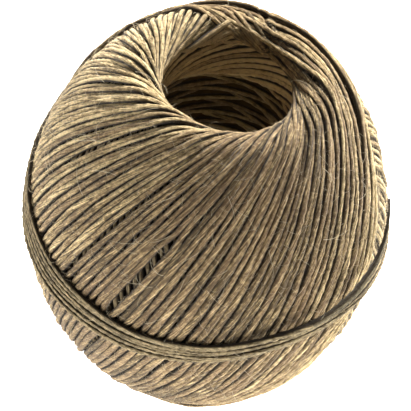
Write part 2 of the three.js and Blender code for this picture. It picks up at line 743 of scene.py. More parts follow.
@dataclass(frozen=True)
class Finish:
    """What every finish has: a name, and a node material with one shader."""

    name: str

    def material(self) -> bpy.types.Material:
        """Build the node material.

        Returns:
            The material.
        """
        material = bpy.data.materials.new(self.name)
        material.use_nodes = True
        material.node_tree.nodes.clear()
        make = NodeMaker(material.node_tree)
        shader = make.add("ShaderNodeBsdfPrincipled", None, self._surface(make))
        make.add("ShaderNodeOutputMaterial", None, {"Surface": shader})
        return material

    def _surface(self, make: NodeMaker) -> Inputs:
        """The shader's inputs: each kind of finish has its own."""
        raise NotImplementedError


@dataclass(frozen=True)
class TwineFinish(Finish):
    """Dry plant fibre: fine fibres that run with the twist, in uneven tan and olive brown."""

    pale: Colour
    middle: Colour
    dark: Colour
    # Near-black colour of the painted shade on the twine's sides and on buried turns
    crevice_shade: Colour = (0.030, 0.018, 0.006)
    warm: Colour = (0.34, 0.20, 0.10)
    roughness: float = 0.86
    fibre_pitch: float = 36.0 * MM
    patch_scale: float = 38.0
    mottle_scale: float = 1150.0
    bump_height: float = 0.5 * MM

    def _surface(self, make: NodeMaker) -> Inputs:
        """Add the nodes of the fibres' colour and relief.

        Args:
            make: the maker of the material's nodes.

        Returns:
            The shader's inputs.
        """

        def fact(name: str) -> Term:
            """A stored fact of the twine."""
            return make.add("ShaderNodeAttribute", {"attribute_name": name}, None, "Fac")

        def noise(place: Term, scale: float, detail: float) -> Term:
            """A noise pattern."""
            inputs = {"Vector": place, "Scale": scale, "Detail": detail, "Roughness": 0.6}
            return make.add("ShaderNodeTexNoise", None, inputs)

        along, around, tone = fact("along"), fact("around"), fact("tone")
        facing, depth = fact("facing"), fact("depth")
        angle = (around - along / self.fibre_pitch) * FULL_TURN

        def fibres(stretch: float, count: float, offset: float) -> Term:
            """Noise drawn out along the fibres.

            Args:
                stretch: changes for each metre along them.
                count: how fine they are around the twine.
                offset: how far apart two lengths of twine are in the pattern.

            Returns:
                The noise.
            """
            place = {0: along * stretch + tone * offset, 1: angle.cos() * count, 2: angle.sin() * count}
            return noise(make.add("ShaderNodeCombineXYZ", None, place), 1.0, 3.0)

        streaks = fibres(85.0, 2.6, 31.0)
        fine = fibres(260.0, 6.0, 57.0)
        stretch = make.add("ShaderNodeCombineXYZ", None, {0: along * 60.0, 1: tone * 40.0, 2: 0.0})
        slow = noise(stretch, 1.0, 2.0)
        place = make.add("ShaderNodeTexCoord", None, None, "Object")
        patches = noise(place, self.patch_scale, 2.0)
        mottle = noise(place, self.mottle_scale, 2.0)
        shade = tone * 0.45 + slow * 0.35 + streaks * 1.35 + fine * 1.6 + patches * 0.3 + mottle * 0.9
        colour = make.mixed(shade.ranged(2.14, 2.50), self.dark, self.middle)
        colour = make.mixed(shade.ranged(2.42, 2.80), colour, self.pale)
        warmth = (tone * 7.3).sin() * 0.25 + patches
        colour = make.mixed(warmth.ranged(0.35, 0.85, 0.0, 0.34), colour, self.warm)
        # Painted shade: the twine is darkened towards a near-black on its sides, which face away from the
        # ball, and where later turns bury it; proud twine gets less of it
        painted_shade = 1.0 - facing.ranged(0.25, 1.0) + depth * 0.5
        colour = make.mixed(painted_shade.ranged(0.0, 1.0), colour, self.crevice_shade)
        relief = streaks * 0.7 + fine * 0.7 + mottle * 0.8
        raised = {"Strength": 1.0, "Distance": self.bump_height, "Height": relief}
        return {
            "Base Color": colour,
            "Roughness": self.roughness,
            "Normal": make.add("ShaderNodeBump", None, raised),
            "Specular IOR Level": 0.25,
            "Sheen Weight": 0.12,
            "Sheen Roughness": 0.6,
        }


@dataclass(frozen=True)
class PlainFinish(Finish):
    """A plain matt colour with a faint uneven grain, for the floor, the fine fibres and the painted shade of
    the inner body.
    """

    first: Colour
    second: Colour
    scale: float
    roughness: float = 0.8
    glow: float = 0.0

    def _surface(self, make: NodeMaker) -> Inputs:
        """Add the nodes of the grain.

        Args:
            make: the maker of the material's nodes.

        Returns:
            The shader's inputs.
        """
        place = make.add("ShaderNodeTexCoord", None, None, "Object")
        grain = make.add("ShaderNodeTexNoise", None, {"Vector": place, "Scale": self.scale, "Detail": 3.0})
        return {
            "Base Color": make.mixed(grain, self.first, self.second),
            "Roughness": self.roughness,
            "Specular IOR Level": 0.2,
            "Emission Color": (1.0, 1.0, 1.0, 1.0),
            "Emission Strength": self.glow,
        }


@dataclass
class Winding:
    """The outer turns of the ball, each from the upper rim down to the lower one and back.

    A turn's age says how far back from the last turn it was wound, in degrees round the rim.
    """

    form: WoundForm
    rng: np.random.Generator
    turns: int = 132
    tangent_radius: float = 15.9 * MM
    level_bend: float = 8.0
    last_turn: float = 160.0
    last_turns_tightness: float = 0.07
    last_turns_short: float = 0.20
    rim_run: float = 32.0
    rim_run_ease: float = 26.0
    joined_age: float = 75.0
    bundle_age: float = 60.0
    least_age: float = 0.4
    jitter: float = 0.18
    closest: float = 0.35
    widest: float = 1.1
    end_ease: float = 14.0
    upper_end_ease: float = 11.0
    newest_age: float = 34.0
    fresh_age: float = 26.0
    fresh_rise: float = 0.8 * MM
    bundle_rise: float = 0.5 * MM
    oldest_sink: float = 1.1 * MM
    full_room: float = 1.78 * MM
    crowded_room: float = 1.6 * MM
    crowding_ease: float = 1.0 * MM
    thinnest: float = 0.82
    pile: float = 0.95 * MM
    end_sink: float = 1.7 * MM
    top_lift: float = -0.95 * MM
    under_lift: float = -2.45 * MM
    top_spacing: float = 0.9 * MM
    under_spacing: float = 3.2 * MM
    gap_reach: float = 4.5
    gap_ease: float = 6.0 * MM
    lap: float = 7.0
    old_lap: float = 3.0
    old_shift: float = 4.5
    tight_age: float = 80.0
    short_age: float = 35.0
    samples: int = 8001
    bend_samples: int = 80

    # Where neighbouring turns part: azimuth of the turn at the rim, start and end along the
    # outline from the waist (mm, negative below it), and width (mm)
    gaps: ClassVar[tuple[tuple[float, float, float, float], ...]] = (
        (74.5, 34.0, 2.0, 2.1),
        (42.0, 29.0, 14.0, 0.9),
        (78.0, -6.0, -16.0, 0.6),
        (105.0, -4.0, -16.0, 1.2),
        (128.0, 30.0, 18.0, 0.7),
        (205.0, 30.0, 2.0, 1.2),
        (250.0, 12.0, -20.0, 1.0),
        (300.0, 34.0, 12.0, 1.1),
        (345.0, 10.0, -16.0, 1.0),
    )
    # Ages at which something starts or ends, and over how many degrees of age it does
    rim_run_starts: ClassVar[Span] = (-25.0, 70.0)
    rim_run_ends: ClassVar[Span] = (350.0, 300.0)
    old_ages: ClassVar[Span] = (272.0, 36.0)
    oldest_ages: ClassVar[Span] = (298.0, 45.0)
    brown_starts: ClassVar[Span] = (0.0, 12.0)
    browner_starts: ClassVar[Span] = (18.0, 25.0)
    brown_ends: ClassVar[Span] = (125.0, 40.0)
    pale_starts: ClassVar[Span] = (150.0, 60.0)
    # Where along the outline turns start to rise or sink towards a rim, and over what distance
    bundle_rises: ClassVar[Span] = (38.0 * MM, 12.0 * MM)
    oldest_sinks: ClassVar[Span] = (36.0 * MM, 12.0 * MM)
    # The slow wobbles: how far each goes and the length of its longest wave
    pile_wobble: ClassVar[tuple[float, float]] = (1.0, 34.0 * MM)
    height_wobble: ClassVar[tuple[float, float]] = (0.18 * MM, 40.0 * MM)
    side_wobble: ClassVar[tuple[float, float]] = (0.20 * MM, 66.0 * MM)
    thickness_wobble: ClassVar[tuple[float, float]] = (0.10, 15.0 * MM)
    # For each family: how thick its turns may be, as a share, and the relief of the plies
    loosest: ClassVar[dict[Side, float]] = {Side.FALLING: 1.07, Side.RISING: 1.0}
    ply_relief: ClassVar[dict[Side, float]] = {Side.FALLING: 0.05, Side.RISING: 0.12}

    def __post_init__(self) -> None:
        """Work out how far a turn runs round the axis on its way down, as a taut line would."""
        start = self.form.along_at_radius(self.form.bore_radius + 1e-7)
        main = start * np.cos(np.linspace(0.0, math.pi, self.samples))
        radius, height = self._middle_line(main)
        sine = self.tangent_radius / radius
        rate = sine / np.sqrt(1.0 - sine * sine) / radius
        step = np.hypot(np.diff(radius), np.diff(height))
        sweep = np.concatenate([[0.0], np.cumsum(0.5 * (rate[1:] + rate[:-1]) * step)])
        bend = math.radians(self.level_bend)
        descent = math.sqrt(1.0 - sine[0] ** 2) / sine[0]
        drop = descent * bend * radius[0] / 2.0
        part = np.linspace(0.0, 1.0, self.bend_samples)
        upper = start + drop * (1.0 - part[:-1]) ** 2
        lower = -start - drop * part[1:] ** 2
        self.along = np.concatenate([upper, main, lower])
        late = bend + sweep[-1] + bend * part[1:]
        self.sweep = np.concatenate([bend * part[:-1], bend + sweep, late])
        self.fall_edge = self._edge(Side.FALLING)
        self.rise_edge = self._edge(Side.RISING)
        log.info("a turn runs %.1f degrees round the axis", math.degrees(self.sweep[-1]))

    def _middle_line(self, along: np.ndarray) -> tuple[np.ndarray, np.ndarray]:
        """The radius and height of the top turns' middle line."""
        radius, height, slope = self.form.at(along)
        return radius + self.top_lift * np.cos(slope), height + self.top_lift * np.sin(slope)

    def _rim_run(self, age: float) -> float:
        """How far a turn of this age runs on along the upper rim before it falls, in degrees."""
        last, width = self.rim_run_ends
        return self.rim_run * float(since(age, self.rim_run_starts)) * min(1.0, (last - age) / width)

    def _course(self, age: float, side: Side) -> tuple[np.ndarray, np.ndarray]:
        """The plain course of one half of a turn.

        Args:
            age: the turn's age.
            side: which half it is.

        Returns:
            The azimuth in radians and the distance along the outline from the waist.
        """
        run = math.radians(self._rim_run(age))
        sweep = self.sweep + 0.5 * run * smooth(self.sweep / math.radians(self.rim_run_ease))
        if side is Side.RISING:
            sweep = sweep * (1.0 - self.last_turns_tightness * smooth(1.0 - age / self.tight_age))
        azimuth = math.radians(self.last_turn - age) + 0.5 * run + side.value * sweep
        return azimuth, self.along * (1.0 - self.last_turns_short * smooth(1.0 - age / self.short_age))

    def _edge(self, side: Side) -> np.ndarray:
        """How far round the newest halves of one family reach.

        Args:
            side: the family.

        Returns:
            The azimuth in radians at each distance along the outline.
        """
        rows = []
        for age in np.arange(0.0, self.bundle_age, 1.0):
            azimuth, reach = self._course(float(age), side)
            row = np.interp(-self.along, -reach, azimuth)
            rows.append(np.where(np.abs(self.along) <= reach[0], row, -10.0))
        return np.max(rows, axis=0)

    def _parting(self, rim_azimuth: float, along: np.ndarray) -> np.ndarray:
        """How far the gaps push a turn sideways.

        Args:
            rim_azimuth: where the turn touches the rim, in degrees.
            along: distances along the outline.

        Returns:
            The push in metres.
        """
        push = np.zeros_like(along)
        for azimuth, first, last, width in self.gaps:
            away = (rim_azimuth - azimuth + 180.0) % 360.0 - 180.0
            side = math.copysign(1.0, away) * math.exp(-abs(away) / self.gap_reach)
            inside = until(along, (first * MM, self.gap_ease)) * since(along, (last * MM, self.gap_ease))
            push += 0.5 * width * MM * side * inside
        return push

    def _shade(self, age: float) -> float:
        """How much paler or darker a turn's twine is, by its age: darker for ages about 0 to 125, paler from
        about 150 on. This is partly uneven twine and partly painted light and shade.

        Args:
            age: the turn's age.

        Returns:
            What to add to its tone.
        """
        brown = since(age, self.brown_starts) * until(age, self.brown_ends)
        darker = 0.20 + 0.27 * since(age, self.browner_starts)
        return float(0.28 * since(age, self.pale_starts) - darker * brown)

    def _wander(self, size: float, period: float) -> np.ndarray:
        """A slow seeded wobble along a turn.

        Args:
            size: how far it goes.
            period: the length of its longest wave.

        Returns:
            The wobble at each point of the turn.
        """
        total = np.zeros_like(self.along)
        for octave in (1.0, 2.3, 4.1):
            phase = self.rng.uniform(0.0, FULL_TURN)
            total += np.sin(FULL_TURN * octave * self.along / period + phase) / octave
        return total * size / 1.6

    def _covered(self, age: float, side: Side, old: float) -> np.ndarray:
        """How far the turns wound later cover one half of a turn.

        Args:
            age: the turn's age.
            side: which half it is.
            old: how far it is one of the oldest falling halves, 0 to 1.

        Returns:
            0 where it lies on top to 1 where it is buried.
        """
        azimuth, reach = self._course(age, side)
        if side is Side.FALLING:
            over = np.interp(-reach, -self.along, self.rise_edge) - azimuth - FULL_TURN
            under = np.degrees(over) / 2.0 + 0.5 - self.old_shift * old
            return smooth(under / (self.lap + self.old_lap * old))
        over = np.interp(-reach, -self.along, self.fall_edge) - azimuth
        return 1.0 - smooth((-np.degrees(over) / 2.0 - 1.0) / self.lap)

    def _room(self, age: float, side: Side, radius: np.ndarray) -> np.ndarray:
        """How much room one half of a turn has between its neighbours.

        Args:
            age: the turn's age.
            side: which half it is.
            radius: the form's radius at each point.

        Returns:
            The width in metres at each point.
        """
        lean = np.clip(self.tangent_radius / radius, 0.0, 0.95)
        spread = 1.0
        if side is Side.RISING:
            newer, older = self._rim_run(age - 0.5), self._rim_run(age + 0.5)
            spread = float(np.clip(1.0 + newer - older, self.closest, self.widest))
        return spread * FULL_TURN * radius / self.turns * np.sqrt(1.0 - lean * lean)

    def _half(self, age: float, side: Side, rank: float, size: float) -> list[np.ndarray]:
        """Work out one half of a turn, from the upper rim to the lower one.

        Args:
            age: the turn's age.
            side: which half it is.
            rank: where it lies in the pile where turns crowd together, -1 low to 1 high.
            size: how thick this length of twine is, as a share of its usual radius.

        Returns:
            The points, outward directions, radii, depths and wanted spacings.
        """
        azimuth, reach = self._course(age, side)
        radius, _, _ = self.form.at(self.along)
        room = self._room(age, side, radius)
        from_start = np.degrees(self.sweep)
        to_end = from_start[-1] - from_start
        falling = float(side is Side.FALLING)
        old = float(since(age, self.old_ages)) * falling
        oldest = float(since(age, self.oldest_ages)) * falling
        newness = float(smooth(1.0 - age / self.newest_age))

        # Where it lies under turns wound later, and half way at the two rims
        ends = smooth(from_start / self.end_ease) * smooth(to_end / self.end_ease)
        level = 0.5 * (1.0 - newness)
        covered = level + (self._covered(age, side, old) - level) * ends
        buried = smooth(covered * 2.0 - 1.0) * (1.0 - 0.8 * old)

        # How high it lies: on top or underneath, in the pile, and sunk at its ends
        crowd = smooth((self.crowded_room - room) / self.crowding_ease)
        fresh = float(smooth(1.0 - age / self.fresh_age)) * self.fresh_rise
        wavering = rank + 0.5 * self._wander(*self.pile_wobble) * ends
        piled = crowd * (wavering * (1.0 - buried) - buried) * self.pile
        bundle = float(smooth(1.0 - age / self.bundle_age))
        proud = self.bundle_rise * bundle * since(reach, self.bundle_rises)
        lift = self.top_lift + (self.under_lift - self.top_lift) * covered * (1.0 - 0.5 * old)
        lift = lift + (1.0 - covered) * (fresh + proud) + piled
        lift = lift + self._wander(*self.height_wobble) * ends
        lift = lift - self.oldest_sink * oldest * since(reach, self.oldest_sinks)
        upper_end = (1.0 - smooth(from_start / self.upper_end_ease)) * float(age >= self.joined_age)
        lower_end = (1.0 - smooth(to_end / self.end_ease)) * (1.0 + 0.7 * newness)
        lift = lift - self.end_sink * (upper_end + lower_end)

        # How far it strays sideways
        drift = self._wander(*self.side_wobble) + self.rng.normal(0.0, 0.12) * MM
        drift = drift + self._parting(self.last_turn - age, self.along) * (1.0 - covered)
        points, outward = self.form.place(reach, azimuth + drift * ends / radius, lift)

        # How thick it is, and what its finish and its mesh need to know
        slack = np.clip(room / self.full_room, self.thinnest, self.loosest[side])
        thick = TWINE_RADIUS * slack * (size + self._wander(*self.thickness_wobble) * ends)
        points[:, 2] = np.maximum(points[:, 2], thick * 1.02)
        # Depth sets the painted shade of the finish: darker where this half is buried, and lighter, as
        # painted light, on the freshest turns on top
        depth = smooth(covered * 3.0 - 2.0) - 0.5 * fresh / MM * (1.0 - covered)
        sparse = smooth(covered * 2.0 - 0.6)
        spacing = self.top_spacing + (self.under_spacing - self.top_spacing) * sparse
        return [points, outward, thick, depth, spacing]

    @staticmethod
    def _lay(strands: Strands, facts: list[np.ndarray], tone: float) -> None:
        """Lay a route at the spacing that it asks for.

        Args:
            strands: the strands that it joins.
            facts: the points, outward directions, radii, depths and wanted spacings.
            tone: the shade of this length of twine.
        """
        index = respaced(facts[0], facts[-1])
        points, outward, thick, depth = (picked(values, index) for values in facts[:-1])
        strands.lay(points, outward, thick, tone, depth)

    def lay_turn(self, strands: dict[Side, Strands], age: float, rank: float) -> None:
        """Lay one turn: its two halves, or one route where they join in sight.

        Args:
            strands: the strands that each half joins.
            age: the turn's age.
            rank: where it lies in the pile where turns crowd together.
        """
        size = 1.0 + self.rng.normal(0.0, 0.08)
        tone = float(0.25 + 0.5 * self.rng.uniform(0.0, 1.0) + self._shade(age))
        falling = self._half(age, Side.FALLING, rank, size)
        rising = self._half(age, Side.RISING, rank, size)
        if age < self.joined_age:
            joined = [np.concatenate([up[::-1], down[1:]]) for up, down in zip(rising, falling)]
            self._lay(strands[Side.FALLING], joined, tone)
        else:
            self._lay(strands[Side.FALLING], falling, tone)
            self._lay(strands[Side.RISING], rising, tone)

    def build(self, sweeper: TwineSweep, material: bpy.types.Material, pieces: int = 3) -> None:
        """Make the outer turns.

        Args:
            sweeper: makes twine of routes.
            material: the twine's finish.
            pieces: how many pieces each family of halves is split into.
        """
        ages = (np.arange(self.turns) + 0.5) * 360.0 / self.turns
        jitter = self.rng.uniform(-self.jitter, self.jitter, self.turns) * 360.0 / self.turns
        ages = np.maximum(ages + jitter, self.least_age)
        for part in range(pieces):
            strands = {side: Strands() for side in Side}
            for i in range(part, self.turns, pieces):
                rank = 2.0 * ((i * GOLDEN_SHARE) % 1.0) - 1.0
                self.lay_turn(strands, float(ages[i]), rank)
            for side in Side:
                name = f"{side.name.lower()}_turns_{part + 1}"
                relief = self.ply_relief[side]
                piece = sweeper.sweep(strands[side], name, material, sides=9, ply_depth=relief)
                finished(piece, BALL_NODE)


@dataclass
class BoreWall:
    """The inner turns that show in the wall of the spindle hole."""

    form: WoundForm
    rng: np.random.Generator
    reach: float = 58.0
    deep_turns: int = 170
    deep_radius: float = 18.1 * MM
    deep_thickness: float = 0.98
    upper_depth: float = 9.5 * MM
    upper_radius: float = 16.85 * MM
    climbing_turns: int = 25
    climbing_thickness: float = 0.91
    climb: float = 13.5 * MM
    climb_sweep: float = 125.0
    layers: int = 2
    layer_depth: float = 1.35 * MM
    deep_samples: int = 33
    climbing_samples: int = 41

    # The last part of a climbing turn, in which it bends away over the rim
    last_part: ClassVar[Span] = (0.78, 0.22)

    def _add(
        self,
        strands: Strands,
        route: tuple[np.ndarray, np.ndarray, np.ndarray],
        thick: float,
        tone: float,
        depth: float,
    ) -> None:
        """Add one turn to the strands.

        Args:
            strands: the strands that it joins.
            route: its distances from the axis, azimuths and heights over the ball's middle.
            thick: its radius, as a share of the usual one.
            tone: the shade of this length of twine.
            depth: how far it is buried, or less than 0 where it is proud; the finish paints shade on the
                twine by it.
        """
        distance, angle, height = route
        points = around_axis(distance, angle, height + self.form.middle)
        points[:, 2] = np.maximum(points[:, 2], TWINE_RADIUS * FLOOR_SHARE)
        outward = around_axis(np.full_like(angle, -1.0), angle, np.zeros_like(angle))
        strands.lay(points, outward, np.full(len(angle), TWINE_RADIUS * thick), tone, depth)

    def _lay(self, strands: Strands, height: float, azimuth: float) -> None:
        """Lay one turn: it touches the hole at one place and runs back into the ball.

        Args:
            strands: the strands that it joins.
            height: its height over the ball's middle where it touches the hole.
            azimuth: where it touches the hole, in radians.
        """
        rng = self.rng
        turn = np.linspace(-1.0, 1.0, self.deep_samples)
        angle = azimuth + turn * math.radians(self.reach * rng.uniform(0.85, 1.15))
        bow = math.tanh(3.0 * height / self.form.lip_height)
        rise = height + turn * rng.normal(0.0, 0.35) * MM + bow * turn**2 * rng.uniform(2.5, 3.5) * MM
        distance = self.deep_radius + rng.uniform(-0.15, 0.2) * MM + 3.4 * MM * turn**4
        thick = self.deep_thickness + rng.normal(0.0, 0.06)
        self._add(strands, (distance, angle, rise), thick, float(rng.uniform(0.0, 1.0)), 0.1)

    def _climb(self, strands: Strands, way: float, azimuth: float, radius: float) -> None:
        """Lay one turn that runs level along the hole's wall, then climbs to a rim.

        Args:
            strands: the strands that it joins.
            way: 1 for the upper rim, -1 for the lower one.
            azimuth: where it starts, in radians.
            radius: how near to the axis it comes.
        """
        rng = self.rng
        part = np.linspace(0.0, 1.0, self.climbing_samples)
        angle = azimuth + rng.normal(0.0, 0.03) - math.radians(self.climb_sweep) * part
        rise = self.climb * (part**1.3 - 1.0) + 2.2 * MM
        height = way * (self.form.lip_height + rise + rng.normal(0.0, 0.15) * MM)
        away = smooth(1.0 - part / 0.22) * 2.6 + since(part, self.last_part) * 1.6
        distance = radius + away * MM + rng.uniform(-0.12, 0.15) * MM
        thick = self.climbing_thickness + rng.normal(0.0, 0.05)
        self._add(strands, (distance, angle, height), thick, float(rng.uniform(0.2, 1.0)), -0.1)

    def build(self, sweeper: TwineSweep, upper: bpy.types.Material, deep: bpy.types.Material) -> None:
        """Make the wall's turns.

        Args:
            sweeper: makes twine of routes.
            upper: the finish near the two rims, a paler copy of the twine's with painted light.
            deep: the finish further in, a darker copy of the twine's with painted shade.
        """
        near, inside = Strands(), Strands()
        for way in (1.0, -1.0):
            for i in range(self.climbing_turns):
                for layer in range(self.layers):
                    azimuth = FULL_TURN * (i + layer / self.layers) / self.climbing_turns
                    self._climb(near, way, azimuth, self.upper_radius + layer * self.layer_depth)
        top = self.form.lip_height - self.upper_depth
        for i in range(self.deep_turns):
            height = top * (1.0 - 2.0 * (i + 0.5) / self.deep_turns)
            self._lay(inside, height, math.radians(i * GOLDEN_ANGLE))
        finished(sweeper.sweep(near, "rim_wall_turns", upper, sides=8), BALL_NODE)
        finished(sweeper.sweep(inside, "hole_wall_turns", deep, sides=7), BALL_NODE)


@dataclass
class InnerBody:
    """The mass of older turns under the outer ones, which closes the gaps between them; its near-black
    colour is painted shade.
    """

    form: WoundForm
    depth: float = 3.5 * MM
    bore_clearance: float = 2.4 * MM
    rows: int = 120
    sectors: int = 96

    def build(self, material: bpy.types.Material) -> None:
        """Make it: one closed ring-shaped body.

        Args:
            material: its finish.
        """
        side = np.linspace(-1.0, 1.0, self.rows + 1)[:-1] * self.form.along[-1]
        radius, height, slope = self.form.at(side)
        inner = np.clip((np.abs(slope) - math.pi / 2) / (math.pi / 2), 0.0, 1.0)
        depth = self.depth + (self.bore_clearance - self.depth) * inner
        radius = radius - depth * np.cos(slope)
        height = height - depth * np.sin(slope) + self.form.middle
        azimuth = np.arange(self.sectors)[:, None] * FULL_TURN / self.sectors
        mesh = ringed("inner_turns_body", around_axis(radius, azimuth, height), closed=True)
        mesh.materials.append(material)
        mesh.polygons.foreach_set("use_smooth", [True] * len(mesh.polygons))
        finished(added("inner_turns_body", mesh), BALL_NODE)


@dataclass
class WaistWraps:
    """The wraps around the waist: one length of twine that ends in the loose end."""

    form: WoundForm
    rng: np.random.Generator
    turns: int = 6
    lift: float = 0.50 * MM
    stack: float = 0.55 * MM
    spacing: float = 0.7 * MM
    start_sink: float = 3.0 * MM
    start_width: float = 12.0
    join_width: float = 34.0
    ease_width: int = 37

    # Azimuth in degrees, and the heights of the band's lower and upper edges over the middle, mm
    band: ClassVar[tuple[tuple[float, float, float], ...]] = (
        (-180.0, 12.0, 20.5),
        (-120.0, 5.0, 17.0),
        (-80.0, -1.5, 10.8),
        (-47.0, -4.2, 6.6),
        (-15.0, -3.2, 4.3),
        (8.0, -1.3, 4.9),
        (27.0, 1.4, 7.2),
        (45.0, 2.6, 8.0),
        (58.0, 2.6, 7.4),
        (72.0, 1.8, 6.6),
        (86.0, 1.4, 6.4),
        (110.0, 3.4, 9.5),
        (180.0, 12.0, 20.5),
    )
    # The part of each turn in which it climbs to the next place, and the periods of its wobble
    climbing: ClassVar[Span] = (0.82, 0.18)
    periods: ClassVar[tuple[float, ...]] = (3.1, 7.7, 13.0)
    # For each turn from the lowest: how far up the band it lies, 0 to 1, and its radius in mm
    shares: ClassVar[tuple[float, ...]] = (0.0, 0.27, 0.47, 0.65, 0.83, 1.0)
    radii: ClassVar[tuple[float, ...]] = (0.70, 0.60, 0.54, 0.54, 0.56, 0.62)

    def _edge(self, azimuth: np.ndarray, column: int) -> np.ndarray:
        """One edge of the band, with its corners rounded off.

        Args:
            azimuth: azimuths in degrees, -180 to 180.
            column: the edge's column in the band's table.

        Returns:
            The distance along the outline at each azimuth.
        """
        table = np.array(self.band)
        height = np.interp(azimuth, table[:, 0], table[:, column]) * MM
        window = np.hanning(self.ease_width)
        padded = np.pad(height, self.ease_width // 2, mode="edge")
        return self.form.along_at_height(np.convolve(padded, window / window.sum(), mode="valid"))

    @staticmethod
    def _stepped(values: np.ndarray, whole: np.ndarray, climb: np.ndarray) -> np.ndarray:
        """Read a table of one value for each turn, easing from each turn to the next."""
        values = np.append(values, values[-1])
        return values[whole] + (values[whole + 1] - values[whole]) * climb

    def _route(self) -> tuple[np.ndarray, np.ndarray, np.ndarray]:
        """Lead the wraps round the waist and into the loose end.

        Returns:
            The points, outward directions and radii.
        """
        end = END_ROUTE_MM[0]
        first = -180.0
        last = (self.turns - 1) * 360.0 + math.degrees(math.atan2(end[0], -end[1]))
        azimuth = np.append(np.arange(first, last, 0.5), last)
        turn = (azimuth - first) / 360.0
        whole = np.clip(np.floor(turn).astype(int), 0, self.turns - 1)
        climb = since(turn - whole, self.climbing)
        share = self._stepped(np.array(self.shares), whole, climb)
        thick = self._stepped(np.array(self.radii) * MM, whole, climb)
        low, high = (self._edge(azimuth - 360.0 * whole, column) for column in (1, 2))
        width = high - low - 2.0 * self.radii[0] * MM
        crowd = smooth(1.2 - width / (self.turns * 1.25 * MM))
        raised = 0.5 - 0.5 * np.cos(math.pi * (whole + climb))
        waves = (np.sin(azimuth / p + self.rng.uniform(0, 6.28)) for p in self.periods)
        wobble = sum(waves) / 3.0
        along = low + self.radii[0] * MM + width * share + wobble * 0.18 * MM
        lift = self.lift + self.stack * crowd * raised + np.roll(wobble, 40) * 0.12 * MM
        points, outward = self.form.place(along, np.radians(azimuth), lift)
        join = since(azimuth, (last - self.join_width, self.join_width))
        points = points + (np.array(end) * MM - points[-1]) * join[:, None]
        sunk = 1.0 - since(azimuth, (first, self.start_width))
        points = points - outward * sunk[:, None] * self.start_sink
        thick = thick * (1.0 + 0.09 * np.sin(azimuth / 9.0) * np.sin(azimuth / 23.0))
        return points, outward, thick + (END_RADIUS - thick) * join

    def build(self, sweeper: TwineSweep, material: bpy.types.Material) -> None:
        """Make the wraps.

        Args:
            sweeper: makes twine of routes.
            material: their finish.
        """
        route = self._route()
        index = respaced(route[0], np.full(len(route[0]), self.spacing))
        points, outward, thick = (picked(values, index) for values in route)
        strands = Strands()
        # A depth below 0 gives the wraps less painted shade
        strands.lay(points, outward, thick, 0.5, -0.15)
        plies = {"ply_depth": 0.14, "ply_pitch": 4.6 * MM}
        finished(sweeper.sweep(strands, "waist_wraps", material, sides=12, **plies), BALL_NODE)


@dataclass
class LooseEnd:
    """The twine's free end, standing off the ball's right side."""

    spacing: float = 0.8 * MM
    taper: float = 24.0 * MM
    tip_share: float = 0.3
    samples: int = 12

    def route(self) -> np.ndarray:
        """Lead a smooth curve through the route's points.

        Returns:
            The middle line's points.
        """
        knots = np.array(END_ROUTE_MM) * MM
        knots = np.vstack([2 * knots[0] - knots[1], knots, 2 * knots[-1] - knots[-2]])
        line = []
        for a, b, c, d in zip(knots, knots[1:], knots[2:], knots[3:]):
            for t in np.linspace(0.0, 1.0, self.samples, endpoint=False):
                tangent_b, tangent_c = (c - a) / 2.0, (d - b) / 2.0
                point = (2 * t**3 - 3 * t**2 + 1) * b + (t**3 - 2 * t**2 + t) * tangent_b
                line.append(point + (3 * t**2 - 2 * t**3) * c + (t**3 - t**2) * tangent_c)
        line.append(knots[-2])
        points = np.array(line)
        return picked(points, respaced(points, np.full(len(points), self.spacing)))

    def build(self, sweeper: TwineSweep, material: bpy.types.Material) -> None:
        """Args:
            sweeper: makes twine of routes.
            material: its finish.
        """
        points = self.route()
        step = np.linalg.norm(np.diff(points, axis=0), axis=1)
        length = float(step.sum())
        to_tip = length - np.concatenate([[0.0], np.cumsum(step)])
        thick = END_RADIUS * (self.tip_share + (1.0 - self.tip_share) * smooth(to_tip / self.taper))
        outward = points * np.array([1.0, 1.0, 0.0])
        outward /= np.linalg.norm(outward, axis=1)[:, None]
        strands = Strands()
        # A depth below 0 gives the loose end less painted shade
        strands.lay(points, outward, thick, 0.4, -0.3)
        plies = {"ply_depth": 0.1, "roughness": 0.2}
        piece = sweeper.sweep(strands, "loose_end_twine", material, sides=12, **plies)
        finished(piece, END_NODE)


@dataclass(frozen=True)
class FibreKind:
    """One kind of loose fibre: how many to the square metre, and their sizes in metres."""

    name: str
    density: float
    length: float
    thickness: float
    steps: int
    stand: float
    seed: int


@dataclass
class LooseFibres:
    """Fine fibres that stand off the twine all over the ball."""

    form: WoundForm
    rows: int = 61
    sectors: int = 72
    rim_radius: float = 17.5 * MM
    sink: float = 0.15 * MM

    kinds: ClassVar[tuple[FibreKind, ...]] = (
        FibreKind("fuzz", 130000.0, 3.4 * MM, 0.038 * MM, 4, 0.6, SEED),
        FibreKind("long_fibres", 10000.0, 8.0 * MM, 0.07 * MM, 9, 0.45, SEED + 100),
    )

    def _carrier(self, name: str) -> bpy.types.Object:
        """Make the ball's outer form as an open surface, to set fibres on.

        Args:
            name: the object's name.

        Returns:
            The object.
        """
        along = np.linspace(-1.0, 1.0, self.rows) * self.form.along_at_radius(self.rim_radius)
        azimuth = np.arange(self.sectors)[:, None] * FULL_TURN / self.sectors
        along, azimuth = np.broadcast_arrays(along, azimuth)
        points, _ = self.form.place(along, azimuth, np.full(along.shape, -self.sink))
        return added(name, ringed(name, points, closed=False))

    def build(self, material: bpy.types.Material) -> None:
        """Make the short fuzz and the few long fibres.

        Args:
            material: their finish.
        """
        scatter = FibreScatter()
        for kind in self.kinds:
            values = {
                "Density": kind.density,
                "Length": kind.length,
                "Thickness": kind.thickness,
                "Steps": kind.steps,
                "Stand": kind.stand,
                "Seed": kind.seed,
                "Material": material,
            }
            carrier = self._carrier(kind.name + "_carrier")
            finished(scatter.run(carrier, kind.name, values), BALL_NODE)


@dataclass(frozen=True)
class Lamp:
    """One soft round light: where it stands, how wide it is and its power in watts."""

    name: str
    place: tuple[float, float, float]
    size: float
    power: float


